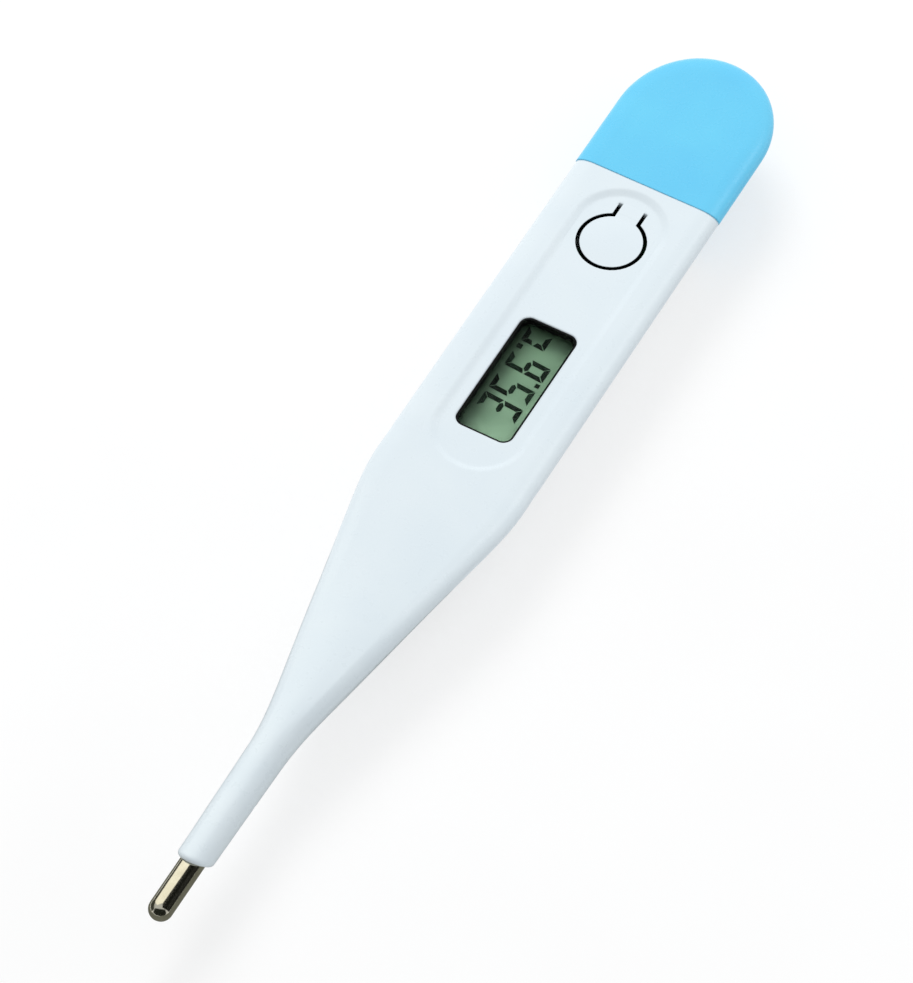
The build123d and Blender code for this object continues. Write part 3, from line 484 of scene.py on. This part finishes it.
def tongue_web():
    """Thin skin over the tongue's bending line, sunk below the surface at its own edges."""
    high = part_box("power_button")[1]
    near, far = high.y - WEB_INTO_TONGUE, high.y + WEB_INTO_FACE
    mesh = bmesh.new()
    rows = []
    for i in range(WEB_STEPS + 1):
        row = []
        for j in range(WEB_STEPS + 1):
            u, v = 2 * i / WEB_STEPS - 1, 2 * j / WEB_STEPS - 1
            rise = WEB_RISE - (WEB_RISE + WEB_SINK) * v**WEB_FALL
            y = near + (far - near) * (v + 1) / 2
            row.append(mesh.verts.new((u * WEB_WIDTH / 2, y, recess_z + rise)))
        rows.append(row)
    for first, second in zip(rows, rows[1:]):
        for a, b, c, d in zip(first, second, second[1:], first[1:]):
            mesh.faces.new((a, b, c, d))
    data = bpy.data.meshes.new("tongue_web")
    mesh.to_mesh(data)
    mesh.free()
    data.shade_smooth()
    data.materials.append(WHITE)
    web = put("tongue_web", data)
    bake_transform(web)


tongue_web()


def soft_key():
    """The rubber key under the tongue, as its own mesh on the carrier's body."""
    key = put("soft_key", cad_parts["rubber_key"].data.copy())
    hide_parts("rubber_key")
    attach(key, "carrier_body")
    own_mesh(key)


soft_key()

# ---- Floor ----
FLOOR_SIZE = 6.0
FLOOR_ALBEDO = 0.84      # to the light that bounces off it
FLOOR_MOTTLE = 0.01
SEEN_ALBEDO = 0.34       # to the camera and to mirrors
FLOOR_LIFT = 0.67        # glow that makes up the rest to white, to the camera and to mirrors


def floor_material():
    """Pale floor. The camera and mirrors see it lifted to white with a faint shadow."""
    material, tree, shader = new_material("floor")
    path = tree.nodes.new("ShaderNodeLightPath")
    seen = path.outputs["Is Camera Ray"]
    for other in ("Is Glossy Ray", "Is Transmission Ray"):
        seen = calculate(tree, "MAXIMUM", seen, path.outputs[other])
    cloud = noise(tree, place(tree), 0.02, 3.0)
    mottle = spread(tree, cloud, FLOOR_ALBEDO - FLOOR_MOTTLE, FLOOR_ALBEDO + FLOOR_MOTTLE)
    drop = calculate(tree, "MULTIPLY", seen, FLOOR_ALBEDO - SEEN_ALBEDO)
    shade = calculate(tree, "SUBTRACT", mottle, drop)
    grey = add(tree, "ShaderNodeCombineColor", Red=shade, Green=shade, Blue=shade)
    tree.links.new(grey.outputs[0], shader.inputs["Base Color"])
    shader.inputs["Roughness"].default_value = 0.9
    shader.inputs["Specular IOR Level"].default_value = 0.1
    lift = calculate(tree, "MULTIPLY", seen, FLOOR_LIFT)
    glow = add(tree, "ShaderNodeEmission", Color=(1, 1, 1, 1), Strength=lift)
    both = tree.nodes.new("ShaderNodeAddShader")
    tree.links.new(shader.outputs[0], both.inputs[0])
    tree.links.new(glow.outputs[0], both.inputs[1])
    tree.links.new(both.outputs[0], tree.nodes["Material Output"].inputs["Surface"])
    return material


floor_z = cad_box[0][2]
floor = put("floor", rectangle("floor", FLOOR_SIZE, FLOOR_SIZE, floor_z, floor_material()))

# ---- Light: an even pale surround, a broad soft key, a soft side light and cards ----
WORLD_COLOUR = (0.97, 0.985, 1.0, 1)
WORLD_STRENGTH = 0.66
scene.view_settings.view_transform = "Standard"
scene.cycles.transparent_max_bounces = 32      # lens, film and glass lie over the display
scene.world = bpy.data.worlds.new("surround")
scene.world.use_nodes = True
surround = scene.world.node_tree.nodes["Background"]
surround.inputs["Color"].default_value = WORLD_COLOUR
surround.inputs["Strength"].default_value = WORLD_STRENGTH


def area_light(name, where, target, size, power, colour=(1, 1, 1)):
    data = bpy.data.lights.new(name, "AREA")
    data.shape = "RECTANGLE"
    data.size, data.size_y = size
    data.energy = power
    data.color = colour
    lamp = put(name, data)
    aim(lamp, where, target)
    return lamp


key_lamp = area_light(
    "key", where=(-0.28, 0.36, 0.47), target=(0.0, 0.03, 0.005), size=(0.3, 0.3), power=1.96,
    colour=(1.0, 0.99, 0.975),
)
key_lamp.visible_glossy = False      # it would lie as a veil over the flat face
area_light(
    "side", where=(0.62, 0.40, 0.27), target=(0.0, 0.0, 0.005), size=(0.9, 0.10), power=0.30
)


def glow_card(name, centre, target, size, strength, colour=(1, 1, 1)):
    """Card that only glossy reflections see: it shapes what the tip or the shoulders mirror."""
    material = bpy.data.materials.new(name)
    material.use_nodes = True
    tree = material.node_tree
    tree.nodes.remove(tree.nodes["Principled BSDF"])
    glow = add(tree, "ShaderNodeEmission", Color=(*colour, 1), Strength=strength)
    tree.links.new(glow.outputs[0], tree.nodes["Material Output"].inputs["Surface"])
    card = put(name, rectangle(name, *size, 0, material))
    aim(card, centre, target)
    for way in ("camera", "diffuse", "transmission", "volume_scatter", "shadow"):
        setattr(card, "visible_" + way, False)


# Each card round the tip: its way from the tip's centre, its size, its strength and its colour.
CARD_DISTANCE = 0.05
TIP_CARDS = {
    "bright_card": ((-0.50, 0.42, 0.68), (0.060, 0.065), 1.35, (1.0, 0.98, 0.88)),
    "dark_card": ((0.70, 0.42, 0.50), (0.062, 0.095), 0.008, (0.9, 1.0, 0.8)),
    "front_card": ((0.32, -0.90, 0.22), (0.130, 0.090), 0.02, (0.9, 1.0, 0.8)),
    "left_card": ((-0.95, -0.10, 0.12), (0.090, 0.050), 0.06, (0.95, 1.0, 0.85)),
}
LOW_CARD_SHIFT = (12 * MM, 2 * MM)      # from the tip's centre, to the right and to the rear
LOW_CARD_RISE = 0.3 * MM                # above the floor
tip_low, tip_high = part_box("probe_tip")
tip_centre = (tip_low + tip_high) / 2
for name, (way, size, strength, colour) in TIP_CARDS.items():
    centre = tip_centre + Vector(way).normalized() * CARD_DISTANCE
    glow_card(name, centre, tip_centre, size, strength, colour)

across, rearwards = LOW_CARD_SHIFT
centre = Vector((tip_centre.x + across, tip_centre.y + rearwards, floor_z + LOW_CARD_RISE))
overhead = centre + Vector((0, 0, 1))
glow_card("low_card", centre, overhead, (0.08, 0.09), 0.19, (0.97, 1.0, 0.86))
glow_card("shoulder_card", (0.145, 0.295, 0.455), (0.0, 0.02, 0.006), (0.09, 0.30), 2.6)
